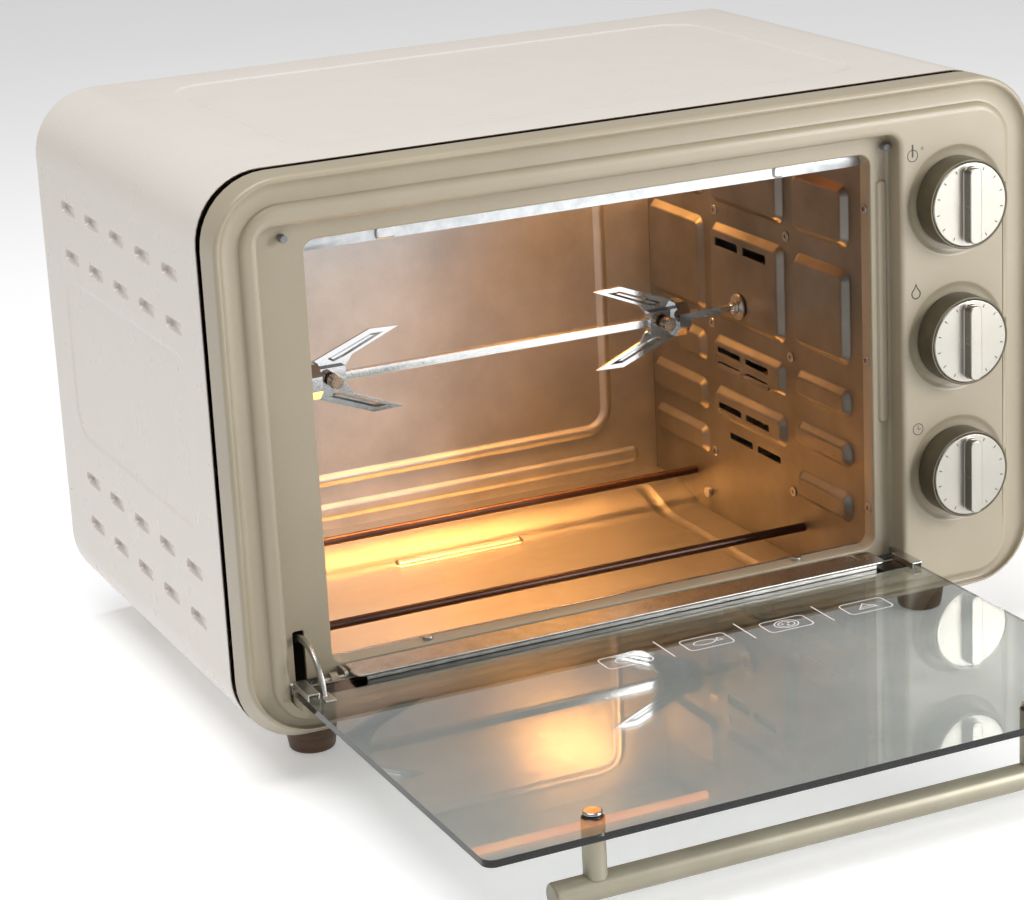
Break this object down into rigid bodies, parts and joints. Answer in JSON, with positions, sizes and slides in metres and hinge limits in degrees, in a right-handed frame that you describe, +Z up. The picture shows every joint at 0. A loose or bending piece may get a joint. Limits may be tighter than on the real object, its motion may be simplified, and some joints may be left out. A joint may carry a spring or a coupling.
{
  "type": "rotisserie oven",
  "caption": "Counter-top electric oven with a drop-down glass door, a motor-driven rotisserie spit with sliding forks, tube heaters, pressed steel cavity and rotary knobs.",
  "frame": {"origin": "centre of the bounding box's footprint at floor level, with the door lying open", "axes": "+X to the right seen from the front, +Y from the door towards the back, +Z up"},
  "size_m": [0.5, 0.581, 0.334],
  "materials": {
    "cream_enamel": "gloss",
    "khaki_paint": "satin",
    "khaki_metal": "satin",
    "galvanised_steel": "spangled",
    "aluminised_steel": "satin",
    "zinc_steel": "satin",
    "motor_steel": "satin",
    "spring_steel": "oiled",
    "chrome_plate": "polished",
    "bronze_plate": "satin",
    "brushed_disc": "spun",
    "bronze_plastic": "satin",
    "black_plastic": "matte",
    "grey_rubber": "matte",
    "ceramic": "matte",
    "heater_sheath": "oxidised",
    "wood_look": "satin",
    "clear_glass": "polished"
  },
  "bodies": {
    "oven": {"outer_shell": "cream_enamel", "back_panel": "galvanised_steel", "wall_spacers": "black_plastic", "base_pan": "galvanised_steel", "front_bezel": "khaki_paint", "door_bumpers": "grey_rubber", "cavity_left_wall": "aluminised_steel", "cavity_right_wall": "aluminised_steel", "cavity_top": "galvanised_steel", "cavity_back_wall": "aluminised_steel", "cavity_floor": "aluminised_steel", "heater_top_front": "heater_sheath", "heater_top_rear": "heater_sheath", "heater_bottom_front": "heater_sheath", "heater_bottom_rear": "heater_sheath", "heater_bushings": "ceramic", "spit_bracket": "zinc_steel", "fan_housing": "galvanised_steel", "fan_motor": "motor_steel", "spit_gearmotor": "motor_steel", "thermostat_body": "ceramic", "selector_body": "black_plastic", "timer_body": "zinc_steel", "feet": "wood_look", "foot_screws": "zinc_steel", "cord_inlet": "black_plastic", "hinge_brackets": "zinc_steel", "hinge_springs": "spring_steel", "wall_screws": "zinc_steel", "flange_screws": "zinc_steel", "back_screws": "zinc_steel"},
    "door": {"door_glass": "clear_glass", "door_rail": "khaki_metal", "door_inner_strip": "zinc_steel", "hinge_end_plates": "zinc_steel", "hinge_pins": "zinc_steel", "door_stay": "zinc_steel", "handle_bar": "khaki_metal", "handle_posts": "khaki_metal", "handle_screws": "chrome_plate"},
    "temp_knob": {"temp_knob_grip": "bronze_plastic", "temp_knob_face": "brushed_disc", "temp_shaft": "zinc_steel"},
    "mode_knob": {"mode_knob_grip": "bronze_plastic", "mode_knob_face": "brushed_disc", "mode_shaft": "zinc_steel"},
    "timer_knob": {"timer_knob_grip": "bronze_plastic", "timer_knob_face": "brushed_disc", "timer_shaft": "zinc_steel"},
    "fan": {"fan_wheel": "zinc_steel"},
    "spit": {"spit_shaft": "chrome_plate", "drive_socket": "zinc_steel"},
    "left_fork": {"fork_left": "chrome_plate"},
    "left_fork_screw": {"fork_left_screw": "bronze_plate"},
    "right_fork": {"fork_right": "chrome_plate"},
    "right_fork_screw": {"fork_right_screw": "bronze_plate"}
  },
  "joints": [
    {"name": "door_hinge", "type": "hinge", "parent": "oven", "child": "door", "pos_m": [-0.032, -0.0375, 0.053], "axis": [-1, 0, 0], "range_deg": [0, 90]},
    {"name": "temp_knob_turn", "type": "hinge", "parent": "oven", "child": "temp_knob", "pos_m": [0.198, -0.0429, 0.2645], "axis": [0, 1, 0], "range_deg": [0, 290]},
    {"name": "mode_knob_turn", "type": "hinge", "parent": "oven", "child": "mode_knob", "pos_m": [0.198, -0.0429, 0.18375], "axis": [0, 1, 0], "range_deg": [0, 270]},
    {"name": "timer_knob_turn", "type": "hinge", "parent": "oven", "child": "timer_knob", "pos_m": [0.198, -0.0429, 0.103], "axis": [0, 1, 0], "range_deg": [0, 300]},
    {"name": "fan_turn", "type": "hinge", "parent": "oven", "child": "fan", "pos_m": [0.16, 0.121, 0.111], "axis": [1, 0, 0], "continuous": true},
    {"name": "spit_turn", "type": "hinge", "parent": "oven", "child": "spit", "pos_m": [0, 0.121, 0.174], "axis": [1, 0, 0], "continuous": true},
    {"name": "left_fork_slide", "type": "slide", "parent": "spit", "child": "left_fork", "axis": [1, 0, 0], "range_m": [-0.03, 0.055]},
    {"name": "right_fork_slide", "type": "slide", "parent": "spit", "child": "right_fork", "axis": [1, 0, 0], "range_m": [-0.055, 0.02]},
    {"name": "left_fork_screw_turn", "type": "hinge", "parent": "left_fork", "child": "left_fork_screw", "pos_m": [-0.13, 0.113, 0.174], "axis": [0, -1, 0], "continuous": true},
    {"name": "right_fork_screw_turn", "type": "hinge", "parent": "right_fork", "child": "right_fork_screw", "pos_m": [0.09, 0.113, 0.174], "axis": [0, -1, 0], "continuous": true}
  ]
}
